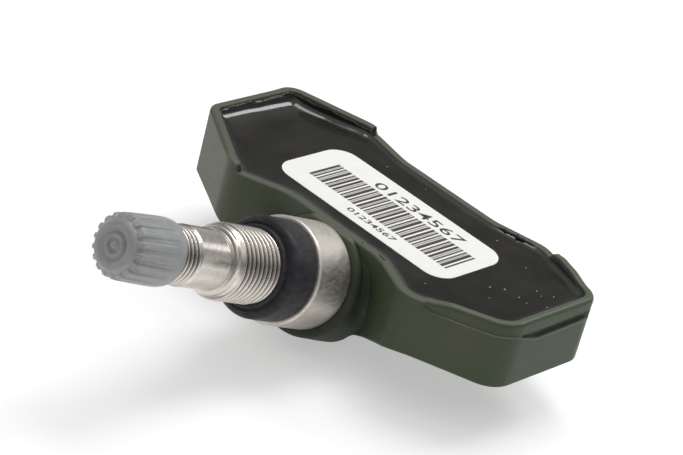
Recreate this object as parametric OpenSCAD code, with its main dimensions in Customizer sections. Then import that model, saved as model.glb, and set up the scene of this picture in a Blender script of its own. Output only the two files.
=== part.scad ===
// Clamp-in tyre pressure sensor with a turned valve stem, in millimetres.
// The origin is on the stem's axis where the rubber grommet ends and the nut thread starts.
// +X runs along the housing, the stem points to -Y and rises to +Z, and the potted face looks up.

/* [Layout] */
// Angle between the stem's axis and the potted face
stem_tilt = 20.5; // [15:0.5:25]
// Distance from the grommet's front to the middle of the label, across the housing
label_y = 26.3; // [25.5:0.1:28]
// Height of the label's top above the grommet's front
label_z = 2.2; // [1.5:0.1:3]

/* [Housing outline] */
// Offset of the housing's middle from the stem's axis
housing_shift = -0.25; // [-1:0.05:1]
// Half of the housing's length
half_length = 30.3; // [29:0.1:32]
// Front edge of the waist
waist_front = -11.1; // [-11.6:0.1:-10.8]
// Back edge of the waist
waist_back = 13.1; // [12.5:0.1:13.5]
// Half of the waist's straight length
waist_half = 9; // [8:0.5:11]
// Distance of the four shoulders from the middle
shoulder_x = 17.1; // [16:0.1:18]
// Front edge of the shoulders
shoulder_front = -14.8; // [-15.4:0.1:-14.2]
// Back edge of the shoulders
shoulder_back = 15; // [14.5:0.1:15.5]
// Front corner of each end wall
end_front = -7.3; // [-8:0.1:-7]
// Back corner of the left end wall
left_end_back = 9.3; // [9:0.1:11.5]
// Back corner of the right end wall
right_end_back = 10.9; // [9:0.1:11.5]
// Rounding of the shoulders and the waist's inner corners
shoulder_r = 4.5; // [3:0.5:6]
// Rounding of the left end wall's front corner
left_front_r = 2.4; // [2:0.2:4]
// Rounding of the left end wall's back corner
left_back_r = 3.4; // [2:0.2:4]
// Rounding of the right end wall's front corner
right_front_r = 5; // [2:0.2:5]
// Rounding of the right end wall's back corner
right_back_r = 3.2; // [2:0.2:4]

/* [Housing section] */
// Thickness of the tub's walls
wall = 1.3; // [1:0.1:1.6]
// Height of the raised rim above the label at the left end
rim_left_end = 2.6; // [2:0.05:2.8]
// Height of the raised rim beside the left step
rim_left_step = 1.4; // [1:0.05:1.8]
// Height of the raised rim beside the right step, along the front edge
rim_right_front = 1; // [0.8:0.05:1.4]
// Height of the raised rim beside the right step, along the back edge
rim_right_back = 1.4; // [0.8:0.05:1.6]
// Height of the raised rim at the right end
rim_right_end = 0.9; // [0.8:0.05:1.6]
// Height of the low rim along the waist
rim_low = 0.35; // [0.2:0.05:0.6]
// Left end of the low rim
low_rim_left = -16.8; // [-18:0.1:-15]
// Right end of the low rim
low_rim_right = 19.3; // [17:0.1:20]
// Length of the ramps at the low rim's ends
rim_ramp = 0.5; // [0.3:0.1:1]
// Level of the underside at the crown of its arch
underside_mid = -7.5; // [-7.6:0.05:-7]
// Radius of the underside's arch
arch_r = 444; // [220:1:500]
// Place of the arch's crown along the housing, as the compound set slightly out of level
arch_x = -7.8; // [-10:0.1:0]
// Level of the tub's inner floor
floor_z = -6; // [-6.1:0.05:-5.9]

/* [Boss and belly] */
// Radius of the boss where it meets the metal collar
boss_r = 8; // [7.6:0.1:8.2]
// Radius of the belly under the housing
belly_r = 8.8; // [8.6:0.1:9]
// Level of the belly's lowest line
belly_bottom = -17.2; // [-17.5:0.1:-16.5]
// Length of the flared part of the boss
flare_len = 7; // [6:0.5:8]
// Place where the belly starts to rise to the back
belly_rise_y = -1; // [-3:0.5:1]
// Place where the belly's slope meets the underside
belly_end_y = 11; // [10:0.5:12]
// Half of the width over which the belly's sides flare into the underside
flare_half = 19; // [16:0.5:20]
// Level of the flare beside the belly
flare_low = -12.7; // [-13:0.1:-11]
// Rise of the flare over its first part
flare_rise = 2.5; // [2:0.1:3]
// Radius of the air passage behind the stem
air_r = 1.5; // [1.2:0.1:1.8]

/* [Side slot] */
// Height of the wedge-shaped slot in the right end wall, at its back
slot_h = 1.25; // [0.8:0.05:1.5]
// Depth of the slot
slot_depth = 0.55; // [0.3:0.05:0.7]
// Level of the slot's lower edge
slot_z = -2.4; // [-3:0.1:-2]

/* [Potting and label] */
// Level of the potting compound's face
potting_z = -0.1; // [-0.2:0.05:-0.05]
// Length of the label
label_len = 33.1; // [32:0.1:34]
// Width of the label
label_w = 13.9; // [13:0.1:14.5]
// Rounding of the label's corners
label_r = 3.1; // [2:0.1:4]
// Left end of the printed bars
bars_left = -12.7; // [-13:0.1:-12]
// Right end of the printed bars
bars_right = 14.4; // [13:0.1:15]
// Front ends of the bars
bars_front = -3.5; // [-4:0.1:-3]
// Back ends of the bars
bars_back = 2.6; // [2:0.1:3]
// Thickness of the ink
ink_t = 0.02; // [0.01:0.01:0.03]

/* [Stem] */
// Radius of the collar
collar_r = 7.5; // [7.3:0.1:7.6]
// Distance from the grommet's front to the collar's back
collar_back = 12.75; // [12.5:0.05:13]
// Thickness of the grommet
grommet_len = 5.66; // [5.5:0.02:5.8]
// Radius of the stem under the grommet
seat_r = 4.6; // [4.4:0.1:4.8]
// Radius of the nut thread over its crests, 10.3 mm by 28 turns an inch
nut_r = 5.15; // [5.1:0.01:5.2]
// Length of the nut thread at full radius
nut_len = 7.45; // [7:0.05:8]
// Pitch of the nut thread
nut_pitch = 0.907; // [0.9:0.001:0.91]
// Radius of the plain ring in front of the nut thread
ring_r = 4.65; // [4.5:0.05:4.8]
// Place of the ring's front face
ring_end = 8.65; // [8.4:0.05:9]
// Radius of the smooth neck
neck_r = 4.04; // [3.95:0.01:4.1]
// Place where the neck ends and the cap thread starts
neck_end = 15.2; // [14.8:0.1:15.6]
// Radius of the cap thread over its crests, 7.75 mm by 32 turns an inch
tip_r = 3.875; // [3.85:0.005:3.9]
// Pitch of the cap thread
tip_pitch = 0.794; // [0.79:0.001:0.8]
// Depth of both threads' grooves, as a share of their pitch
thread_depth = 0.55; // [0.4:0.05:0.6]
// Flat left on each side of a groove at the crests, as a share of the pitch
thread_flat = 0.16; // [0.1:0.02:0.2]
// Place of the stem's mouth
mouth = 26; // [25.8:0.1:26.4]
// Radius of the shank that is moulded into the boss
shank_r = 3.6; // [3.4:0.1:3.8]
// Place of the shank's back end
shank_back = -22; // [-22.5:0.5:-21.5]
// Radius of the plain bore behind the valve core
bore_r = 1.5; // [1.4:0.1:1.6]

/* [Grommet] */
// Radius of the grommet
grommet_r = 7; // [6.8:0.1:7.2]
// Radius of the lip that centres it in the rim hole
lip_r = 5.65; // [5.5:0.05:5.7]
// Length of the lip
lip_len = 0.8; // [0.6:0.1:1]
// Rounding of the grommet's front edge
grommet_edge = 0.8; // [0.6:0.1:1]

/* [Valve core] */
// Radius of the core's screwed head
head_r = 2.6; // [2.55:0.01:2.62]
// Radius of the core's barrel
barrel_r = 1.6; // [1.55:0.05:1.65]
// Radius of the pin
pin_r = 0.55; // [0.5:0.01:0.57]
// Radial clearance of the pin in its guide
pin_clearance = 0.03; // [0.02:0.01:0.05]
// Radius of the spring's wire
wire_r = 0.14; // [0.1:0.01:0.16]
// Working turns of the spring
spring_turns = 6; // [4:1:8]

/* [Cap] */
// Place of the cap's back edge
cap_back = 18.5; // [18.2:0.1:18.8]
// Place of the cap's front face
cap_front = 28; // [27.9:0.1:28.4]
// Largest radius of the cap, over its ribs
cap_r = 4.5; // [4.45:0.05:4.6]
// Radius of the cap at its front shoulder
cap_front_r = 4.3; // [4.1:0.05:4.4]
// Radius of the cap's bore, which clears the thread
cap_bore_r = 3.97; // [3.96:0.01:3.98]
// Number of ribs around the cap
cap_ribs = 18; // [12:1:24]

/* [Electronics] */
// Left end of the circuit board
board_left = -27.2; // [-27.4:0.1:-26]
// Right end of the circuit board
board_right = 26; // [25:0.1:26.2]
// Front edge of the circuit board
board_front = -7; // [-7.4:0.1:-6.6]
// Back edge of the circuit board
board_back = 9; // [8.5:0.1:9.2]
// Level of the board's top
board_top = -2; // [-2.1:0.05:-1.9]
// Thickness of the board
board_t = 0.8; // [0.6:0.1:0.8]
// Radius of the coin cell
cell_r = 10; // [9.5:0.1:10]
// Thickness of the coin cell
cell_t = 2.5; // [2.3:0.1:2.5]
// Middle of the coin cell along the housing
cell_x = -16.6; // [-16.8:0.1:-16.2]
// Middle of the coin cell across the housing
cell_y = 0.6; // [0.2:0.1:1]
// Thickness of the welded battery tabs
tab_t = 0.2; // [0.15:0.05:0.2]
// Middle of the pressure port along the housing
port_x = 17; // [16:0.5:18]
// Radius of the pressure port
port_r = 0.9; // [0.7:0.1:1]

/* [Hidden] */
// Facets of a full circle on turned pieces
$fn = 64;
// Length that cutters run past the faces they cut
over = 1;
// Steps of each rounded corner in the housing's outline
corner_steps = 6;
// Half of the stem line's span used by long cutters
reach = 40;
// Level above every part of the rim, for the outline's solid and its cutters
rim_top = 5;
// Levels of the underside of the board, the cell and the pressure chip
board_bottom = board_top - board_t;
cell_bottom = board_bottom - tab_t - cell_t;
chip_h = 1.8;
chip_bottom = board_bottom - chip_h;
gasket_r = 2.6;
// Radius of the plastic left standing around the shank inside the tub
sleeve_r = shank_r + 2;
// Radius and span of the shank's holding flange
flange_r = 4.3;
flange_from = -19.4;
flange_to = -16.9;
// Place and radii of the valve core's tapered seat
taper_top = 19.6;
taper_bottom = 18.2;
throat_r = 1.9;
throat_end = 7;
// Ends of the core's body and of its guide
barrel_end = 10.5;
head_start = 21;
head_end = 24.6;
guide_start = 19;
spring_room_r = 1.25;
spring_ledge = 11.5;
ledge_hole_r = 0.75;
pin_shoulder = 18;
pin_shoulder_r = 1.1;
// Two air holes beside the pin's guide
air_hole_r = 0.45;
air_hole_at = 1.3;
// The pin stands just below the stem's mouth
pin_tip = mouth - 0.3;
cup_r = 1.5;
cup_t = 0.7;
// Thickness of the cap's sealing washer and of the air over the mouth
seal_gap = 0.05;
seal_t = 0.7;

// Places stem pieces: local +Z is the stem's axis, pointing out of the wheel
module on_stem() rotate([90 - stem_tilt, 0, 0]) children();

// Places housing pieces: the label's middle is their origin
module in_housing() translate([0, label_y, label_z]) children();

// Unit vector from a to b
function toward(a, b) = (b - a) / norm(b - a);

// Right-hand normal of a direction, which points out of an outline that runs anticlockwise
function outward(d) = [d[1], -d[0]];

// Corner points with their roundings, anticlockwise from the front of the right waist
function half_corners(end_back, front_r, back_r) = [
    [waist_half, waist_front, shoulder_r * 2], [shoulder_x, shoulder_front, shoulder_r],
    [half_length, end_front, front_r], [half_length, end_back, back_r],
    [shoulder_x, shoulder_back, shoulder_r], [waist_half, waist_back, shoulder_r * 2]
];
left_corners = half_corners(left_end_back, left_front_r, left_back_r);
corners = concat(
    half_corners(right_end_back, right_front_r, right_back_r),
    [for (i = [5:-1:0]) [-left_corners[i][0], left_corners[i][1], left_corners[i][2]]]
);

// Arc that rounds corner b between a and c, after the outline is moved inwards by inset
function rounded_corner(a, b, c, r, inset) =
    let (d1 = toward(a, b), d2 = toward(b, c), n1 = outward(d1), n2 = outward(d2))
    let (side = d1[0] * d2[1] - d1[1] * d2[0] > 0 ? 1 : -1)
    let (corner = b - inset * (n1 + n2) / (1 + n1 * n2), radius = r - side * inset)
    let (turn = acos(d1 * d2), centre = corner - side * radius * (n1 + n2) / (1 + n1 * n2))
    let (start = atan2(side * n1[1], side * n1[0]))
    [for (i = [0:corner_steps]) let (t = start + side * turn * i / corner_steps)
        centre + radius * [cos(t), sin(t)]];

// Points of the housing's outline, moved inwards by inset
function outline(inset) = [
    for (i = [0:len(corners) - 1])
        let (a = corners[(i + len(corners) - 1) % len(corners)], b = corners[i])
        let (c = corners[(i + 1) % len(corners)])
        for (p = rounded_corner([a[0], a[1]], [b[0], b[1]], [c[0], c[1]], b[2], inset)) p
];

// Upright prism of the housing's outline between two levels
module outline_prism(inset, low, high)
    translate([housing_shift, 0, low]) linear_extrude(high - low) polygon(outline(inset));

// Rectangle with rounded corners, as a plate between two levels
module rounded_plate(length, width, r, low, high)
    translate([0, 0, low]) linear_extrude(high - low) hull()
        for (x = [-1, 1], y = [-1, 1])
            translate([x * (length / 2 - r), y * (width / 2 - r)]) circle(r, $fn = 32);

// Stem shape seen from the housing's own origin
module stem_in_housing() translate([0, -label_y, -label_z]) on_stem() children();

// Solid between two places on the stem's axis
module turned(from, to, r1, r2) translate([0, 0, from]) cylinder(h = to - from, r1 = r1, r2 = r2);

// Outline in X and Z that runs along Y, through the whole housing
module along_y(points) translate([0, reach, 0]) rotate([90, 0, 0])
    linear_extrude(2 * reach) polygon(points);

// Space above one edge's rim, which is raised around both lobes and low along the waist
module above_rim(right_step) along_y([
    [-half_length - 2, rim_left_end], [low_rim_left - rim_ramp, rim_left_step],
    [low_rim_left, rim_low], [low_rim_right, rim_low],
    [low_rim_right + rim_ramp, right_step], [half_length - wall * 1.5, rim_right_end],
    [half_length + 2, rim_right_end], [half_length + 2, rim_top], [-half_length - 2, rim_top]
]);

// Side view of the belly: a steep front, a level bottom and a slope that rises at the back
module belly_side_view() translate([-reach, 0, 0]) rotate([90, 0, 90]) linear_extrude(2 * reach)
    polygon([
        [shoulder_front - over, floor_z], [shoulder_front - over, belly_bottom + 1.4],
        [waist_front + 0.4, belly_bottom - over], [belly_rise_y - over * 1.2, belly_bottom - over],
        [belly_end_y, underside_mid], [belly_end_y, floor_z]
    ]);

// Belly under the waist, round across, with sides that flare into the underside
module belly() {
    bar_z = belly_bottom + belly_r;
    intersection() {
        union() {
            translate([0, -waist_front, bar_z]) rotate([90, 0, 0])
                cylinder(h = -2 * waist_front, r = belly_r);
            intersection() {
                along_y([
                    [-flare_half, underside_mid], [-belly_r - 4.2, flare_low + flare_rise],
                    [-belly_r + 1, flare_low], [belly_r - 1, flare_low],
                    [belly_r + 4.2, flare_low + flare_rise], [flare_half, underside_mid],
                    [flare_half, floor_z], [-flare_half, floor_z]
                ]);
                outline_prism(0, belly_bottom, floor_z);
            }
        }
        belly_side_view();
    }
}

// Flared boss behind the collar
module boss() stem_in_housing()
    turned(-collar_back - flare_len, -collar_back, belly_r, boss_r);

// Inside of the tub, which leaves a sleeve of plastic around the stem's shank
module tub_space(high) difference() {
    outline_prism(wall, floor_z, high);
    stem_in_housing() turned(shank_back - 2, 0, sleeve_r, sleeve_r);
}

// Outline of the stem's shank, as moulded in
module shank() {
    turned(shank_back, -collar_back, shank_r, shank_r);
    turned(flange_from, flange_to, flange_r, flange_r);
}

// Shallow slot in the right end wall, which narrows to nothing at the front
module side_slot() translate([housing_shift + half_length - slot_depth, 0, slot_z])
    rotate([90, 0, 90]) linear_extrude(slot_depth + over) polygon([
        [end_front + 2.2, 0.95], [end_front + 6.4, 0], [right_end_back - 2.2, 0.2],
        [right_end_back - 2.2, slot_h + 0.2], [end_front + 6.4, slot_h - 0.1]
    ]);

// Green moulded tub with the boss that grips the stem
module housing() color("#3c4b37") in_housing() difference() {
    union() {
        difference() {
            outline_prism(0, underside_mid - 4, rim_top - over);
            translate([arch_x, reach, underside_mid - arch_r]) rotate([90, 0, 0])
                cylinder(h = 2 * reach, r = arch_r, $fn = 360);
        }
        belly();
        boss();
    }
    intersection() {
        above_rim(rim_right_front);
        block([-reach, -reach, 0], [2 * reach, reach, rim_top]);
    }
    intersection() {
        above_rim(rim_right_back);
        block([-reach, 0, 0], [2 * reach, reach, rim_top]);
    }
    tub_space(rim_top);
    side_slot();
    stem_in_housing() {
        shank();
        turned(-reach, shank_back + over, air_r, air_r);
    }
    translate([port_x, 0, floor_z - 5]) cylinder(h = 6, r = port_r);
}

// Dark compound that fills the tub around the electronics
module potting_compound() color("#323230") in_housing() difference() {
    tub_space(potting_z);
    board_shape();
    cell_shape();
    tab_top_shape();
    tab_bottom_shape();
    sensor_shape();
    translate([port_x, 0, floor_z - over]) cylinder(h = chip_bottom - floor_z + over, r = gasket_r);
    controller_shape();
    transmitter_shape();
    crystal_shape();
    coil_core_shape();
    coil_winding_shape();
    antenna_shape();
    motion_switch_shape();
    chips_shape();
}

// Paper label with rounded corners
module barcode_label() color("#f3f5ee") in_housing()
    rounded_plate(label_len, label_w, label_r, potting_z, 0);

// Box given by its low corner and its size
module block(corner, size) translate(corner) cube(size);

// Widths of the printed bars and of the gaps after them, as a plain repeating pattern
bar_widths = [0.45, 0.28, 0.28, 0.55, 0.28, 0.45];
bar_gaps = [0.4, 0.32, 0.55, 0.36];
function bar_start(i) = i == 0 ? bars_left
    : bar_start(i - 1) + bar_widths[(i - 1) % len(bar_widths)] + bar_gaps[(i - 1) % len(bar_gaps)];

// Bars of ink on the label
module label_print() color("#2a2426") in_housing()
    for (i = [0:60]) if (bar_start(i) + bar_widths[i % len(bar_widths)] < bars_right)
        block(
            [bar_start(i), bars_front, 0],
            [bar_widths[i % len(bar_widths)], bars_back - bars_front, ink_t]
        );

// Plain board that fills most of the tub
module board_shape() block(
    [board_left, board_front, board_bottom],
    [board_right - board_left, board_back - board_front, board_t]
);
module circuit_board() color("#2f6b3a") in_housing() board_shape();

// Coin cell: a can with a stepped, smaller negative face
module cell_shape() translate([cell_x, cell_y, cell_bottom]) {
    cylinder(h = 0.5, r = cell_r - 1);
    translate([0, 0, 0.5]) cylinder(h = cell_t - 0.5, r = cell_r);
}
module coin_cell() color("#c8c8c8") in_housing() cell_shape();

// Tab welded to the can's flat face, which lies against the board
module tab_top_shape() block([cell_x - 7, cell_y - 2, board_bottom - tab_t], [14, 4, tab_t]);
module cell_tab_top() color("#d8d4c8") in_housing() tab_top_shape();

// Tab welded under the negative face, with a riser beside the cell
module tab_bottom_shape() {
    edge = cell_x + cell_r + 0.4;
    block([cell_x - 3, cell_y - 2, cell_bottom - tab_t], [edge - cell_x + 3 + tab_t, 4, tab_t]);
    block([edge, cell_y - 2, cell_bottom - tab_t], [tab_t, 4, board_bottom - cell_bottom + tab_t]);
}
module cell_tab_bottom() color("#d8d4c8") in_housing() tab_bottom_shape();

// Pressure chip under the board, over the port
module sensor_shape() block([port_x - 3.5, -3, chip_bottom], [7, 6, chip_h]);
module pressure_sensor() color("#2a2a2c") in_housing() difference() {
    sensor_shape();
    translate([port_x, 0, chip_bottom - over]) cylinder(h = over + 1, r = port_r);
}

// Soft ring that joins the chip's port to the hole in the floor
module port_gasket() color("#b04a3a") in_housing() translate([port_x, 0, floor_z]) difference() {
    cylinder(h = chip_bottom - floor_z, r = gasket_r);
    translate([0, 0, -over]) cylinder(h = 5, r = port_r);
}

// Controller, transmitter and crystal stand on the board
module controller_shape() block([-9, -3.5, board_top], [9, 7, 1.3]);
module controller_chip() color("#1c1c1e") in_housing() controller_shape();
module transmitter_shape() block([5, -4, board_top], [5, 5, 1]);
module transmitter_chip() color("#202024") in_housing() transmitter_shape();
module crystal_shape() block([4.5, 4, board_top], [6, 2.4, 1.2]);
module crystal_can() color("#d0d0cc") in_housing() crystal_shape();

// Ferrite bobbin under the board, with a thinner middle that carries the winding
coil_x = 2.5;
coil_y = 3.2;
coil_len = 8;
coil_h = 2.8;
module coil_core_shape() {
    for (x = [coil_x, coil_x + coil_len - 1.2])
        block([x, coil_y, board_bottom - coil_h], [1.2, 3, coil_h]);
    block([coil_x, coil_y + 0.75, board_bottom - 2.15], [coil_len, 1.5, 1.5]);
}
module coil_core() color("#3a3a3e") in_housing() coil_core_shape();
module coil_winding_shape() difference() {
    block([coil_x + 1.2, coil_y + 0.25, board_bottom - 2.65], [coil_len - 2.4, 2.5, 2.5]);
    block([coil_x, coil_y + 0.75, board_bottom - 2.15], [coil_len, 1.5, 1.5]);
}
module coil_winding() color("#b5713a") in_housing() coil_winding_shape();

// Antenna: a bar on two legs, bent from strip
module antenna_shape() {
    block([23.4, board_front + 0.6, board_top], [0.5, 0.9, 1.4]);
    block([23.4, board_back - 1.5, board_top], [0.5, 0.9, 1.4]);
    block([23.4, board_front + 0.6, board_top + 1.1], [0.5, board_back - board_front - 1.2, 0.3]);
}
module antenna_strip() color("#c9b37a") in_housing() antenna_shape();

// Motion switch: a round sealed can lying on the board
module motion_switch_shape() translate([13, 5, board_top + 0.8]) rotate([0, 90, 0])
    cylinder(h = 6, r = 0.8, $fn = 32);
module motion_switch() color("#bdbdb8") in_housing() motion_switch_shape();

// Small resistors and capacitors in two rows on the board
module chips_shape() for (i = [0:5], row = [0, 1])
    block([-22 + 2.1 * i, row == 0 ? -5.5 : 6, board_top], [1.2, 0.8, 0.6]);
module chip_components() color("#8a7a5c") in_housing() chips_shape();

// Space inside the stem: core thread, tapered seat, throat and plain bore
module stem_bore() {
    turned(taper_top, mouth + over, head_r + 0.02, head_r + 0.02);
    turned(taper_bottom, taper_top + 0.001, throat_r, head_r + 0.02);
    turned(throat_end, taper_bottom + 0.001, throat_r, throat_r);
    turned(shank_back - over, throat_end + 0.001, bore_r, bore_r);
}

// Profile of a thread between two places, drawn as a row of V-shaped rings so that it stays round
function thread_rings(from, to, crest, pitch) =
    let (count = floor((to - from) / pitch), start = (from + to - count * pitch) / 2)
    [for (i = [0:count - 1]) let (z = start + i * pitch) each [
        [crest, z + thread_flat * pitch], [crest - thread_depth * pitch, z + pitch / 2],
        [crest, z + (1 - thread_flat) * pitch]
    ]];

// Valve stem, turned from one bar: shank, collar, grommet seat, nut thread, neck and cap thread
module valve_stem() color("#bcb4a6") on_stem() difference() {
    union() {
        shank();
        rotate_extrude() polygon(concat(
            [[0, -collar_back], [collar_r, -collar_back], [collar_r, -grommet_len - 0.4],
                [collar_r - 0.4, -grommet_len], [seat_r, -grommet_len], [seat_r, 0], [nut_r, 0]],
            thread_rings(0, nut_len, nut_r, nut_pitch),
            [[nut_r, nut_len], [ring_r, nut_len + nut_r - ring_r], [ring_r, ring_end - 0.2],
                [ring_r - 0.2, ring_end], [neck_r, ring_end], [neck_r, neck_end],
                [tip_r, neck_end + 0.15]],
            thread_rings(neck_end + 0.15, mouth - 0.6, tip_r, tip_pitch),
            [[tip_r, mouth - 0.6], [tip_r - 0.6, mouth], [0, mouth]]
        ));
    }
    stem_bore();
}

// Rubber grommet with a centring lip and a rounded front edge
module sealing_grommet() color("#2d2d2f") on_stem() rotate_extrude() polygon(concat(
    [[seat_r, -grommet_len], [grommet_r, -grommet_len]],
    [for (i = [0:8]) let (t = i * 90 / 8) [
        grommet_r - grommet_edge + grommet_edge * cos(t),
        -lip_len - grommet_edge + grommet_edge * sin(t)
    ]],
    [[lip_r, -lip_len], [lip_r, -0.2], [lip_r - 0.2, 0], [seat_r, 0]]
));

// Core body: a screwed head with a key slot and a barrel that holds the spring
module core_body() color("#c6a25a") on_stem() difference() {
    union() {
        turned(head_start, head_end, head_r, head_r);
        turned(barrel_end, head_start + 0.01, barrel_r, barrel_r);
    }
    turned(guide_start - over, mouth, pin_r + pin_clearance, pin_r + pin_clearance);
    turned(spring_ledge, guide_start, spring_room_r, spring_room_r);
    turned(barrel_end - over, spring_ledge + over, ledge_hole_r, ledge_hole_r);
    for (x = [-air_hole_at, air_hole_at]) translate([x, 0, guide_start - over])
        cylinder(h = mouth - guide_start, r = air_hole_r);
    translate([-head_r - over, -0.8, head_end - 1.2]) cube([2 * (head_r + over), 1.6, 2]);
}

// Soft ring on the barrel, which seals against the tapered seat
module core_gasket() color("#c8503c") on_stem() difference() {
    turned(taper_bottom + 0.1, taper_top, throat_r, head_r - 0.05);
    turned(taper_bottom - over, taper_top + over, barrel_r, barrel_r);
}

// Pin with the shoulder that the spring pushes outwards and the disc that carries the cup
module core_pin() color("#d2c48c") on_stem() {
    turned(barrel_end - cup_t, pin_tip, pin_r, pin_r);
    turned(pin_shoulder, pin_shoulder + 0.5, pin_shoulder_r, pin_shoulder_r);
    turned(barrel_end - cup_t - 0.4, barrel_end - cup_t, cup_r, cup_r);
}

// Soft cup that closes the barrel's end
module core_cup() color("#303034") on_stem() difference() {
    turned(barrel_end - cup_t, barrel_end, cup_r, cup_r);
    turned(barrel_end - cup_t - over, barrel_end + over, pin_r, pin_r);
}

// Points of one ring of the spring's wire, at step i along the helix
spring_mean_r = 0.92;
spring_low = spring_ledge + wire_r + 0.02;
spring_high = pin_shoulder - wire_r - 0.02;
ring_steps = 16;
wire_sides = 6;
function wire_ring(i) = let (a = 360 * i / ring_steps)
    let (z = spring_low + (spring_high - spring_low) * i / (ring_steps * spring_turns))
    [for (s = [0:wire_sides - 1]) let (t = 360 * s / wire_sides) [
        (spring_mean_r + wire_r * cos(t)) * cos(a), (spring_mean_r + wire_r * cos(t)) * sin(a),
        z + wire_r * sin(t)
    ]];

// Coil spring around the pin, between the barrel's ledge and the pin's shoulder
module core_spring() color("#d8d8d8") on_stem() {
    rings = ring_steps * spring_turns;
    last = rings * wire_sides;
    polyhedron(
        [for (i = [0:rings]) each wire_ring(i)],
        concat(
            [for (i = [0:rings - 1], s = [0:wire_sides - 1]) let (n = (s + 1) % wire_sides) [
                i * wire_sides + s, i * wire_sides + n,
                (i + 1) * wire_sides + n, (i + 1) * wire_sides + s
            ]],
            [[for (s = [wire_sides - 1:-1:0]) s], [for (s = [0:wire_sides - 1]) last + s]]
        )
    );
}

// Groove between two ribs of the cap, which follows its taper and deepens at the shoulder
module cap_groove() {
    taper = atan((cap_r - cap_front_r) / (cap_front - cap_back - 3));
    translate([cap_r + 0.42, 0, cap_back + 2]) rotate([0, -taper, 0])
        cylinder(h = 12, r = 0.6, $fn = 24);
    translate([cap_front_r + 0.1, 0, mouth + seal_gap + seal_t + 0.15])
        cylinder(h = 3, r = 0.5, $fn = 24);
}

// Ribbed plastic cap with a pip in the middle of its face
module valve_cap() color("#8f9092") on_stem() difference() {
    rotate_extrude() polygon([
        [0, cap_back], [cap_bore_r + 0.15, cap_back], [cap_r - 0.15, cap_back + 0.9],
        [cap_r, cap_back + 1.9], [cap_front_r, cap_front - 1.3], [cap_front_r - 0.25, cap_front - 0.6],
        [3.2, cap_front], [2.2, cap_front], [2, cap_front - 0.2], [0.6, cap_front - 0.2],
        [0.35, cap_front + 0.05], [0, cap_front + 0.05]
    ]);
    turned(cap_back - over, mouth + seal_gap + seal_t, cap_bore_r, cap_bore_r);
    for (i = [0:cap_ribs - 1]) rotate(360 * i / cap_ribs) cap_groove();
}

// Rubber washer in the cap, which closes the stem's mouth
module cap_seal() color("#38383a") on_stem()
    turned(mouth + seal_gap, mouth + seal_gap + seal_t, cap_bore_r - 0.02, cap_bore_r - 0.02);

housing();
potting_compound();
barcode_label();
label_print();
circuit_board();
coin_cell();
cell_tab_top();
cell_tab_bottom();
pressure_sensor();
port_gasket();
controller_chip();
transmitter_chip();
crystal_can();
coil_core();
coil_winding();
antenna_strip();
motion_switch();
chip_components();
valve_stem();
sealing_grommet();
core_body();
core_gasket();
core_pin();
core_cup();
core_spring();
valve_cap();
cap_seal();
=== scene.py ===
import math

import bpy
import numpy as np
from mathutils import Matrix


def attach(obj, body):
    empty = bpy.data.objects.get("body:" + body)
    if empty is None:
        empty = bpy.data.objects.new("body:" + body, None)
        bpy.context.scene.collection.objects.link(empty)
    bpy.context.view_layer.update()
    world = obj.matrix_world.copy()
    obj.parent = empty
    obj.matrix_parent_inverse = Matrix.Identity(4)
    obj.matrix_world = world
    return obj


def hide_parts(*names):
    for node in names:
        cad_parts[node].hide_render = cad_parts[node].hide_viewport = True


# Tyre pressure sensor on a clamp-in valve stem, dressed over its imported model.
# Lengths are written in millimetres and made metres as each mesh is filled.
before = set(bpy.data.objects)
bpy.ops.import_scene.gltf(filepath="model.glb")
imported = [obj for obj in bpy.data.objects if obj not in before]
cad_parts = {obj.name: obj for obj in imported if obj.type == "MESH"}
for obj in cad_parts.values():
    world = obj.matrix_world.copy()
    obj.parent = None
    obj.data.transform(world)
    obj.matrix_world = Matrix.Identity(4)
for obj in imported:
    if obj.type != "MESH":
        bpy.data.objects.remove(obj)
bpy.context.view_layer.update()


# Camera, floor and light
# The sensor is seen from the stem's side and slightly above, by a long lens held a little askew.
# It stands on a pale glowing floor, under a broad lamp, with two more behind and one to its left.
scene = bpy.context.scene
scene.view_settings.view_transform = "Standard"

look_right = (0.685729, 0.691693, 0.226576)
look_down = (0.487137, -0.204844, -0.848962)
look_ahead = (-0.540808, 0.692531, -0.477417)
stand_at = (0.18379, -0.21843, 0.16412)
focal_pixels, photo_width = 2500, 683
camera = bpy.data.objects.new("camera", bpy.data.cameras.new("camera"))
scene.collection.objects.link(camera)
camera.matrix_world = Matrix([
    (look_right[i], -look_down[i], -look_ahead[i], stand_at[i]) for i in range(3)
] + [(0, 0, 0, 1)])
camera.data.sensor_width = 36
camera.data.lens = focal_pixels / photo_width * camera.data.sensor_width
camera.data.clip_start, camera.data.clip_end = 0.01, 20
scene.camera = camera


def new_material(name):
    """A node material and its Principled shader, ready for its sockets to be set."""
    material = bpy.data.materials.new(name)
    material.use_nodes = True
    return material, material.node_tree, material.node_tree.nodes["Principled BSDF"]


def add_node(tree, kind, **sockets):
    """A node of that kind in the tree. Keywords set its input sockets, with _ for a space."""
    made = tree.nodes.new(kind)
    for socket, value in sockets.items():
        made.inputs[socket.replace("_", " ")].default_value = value
    return made


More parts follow.
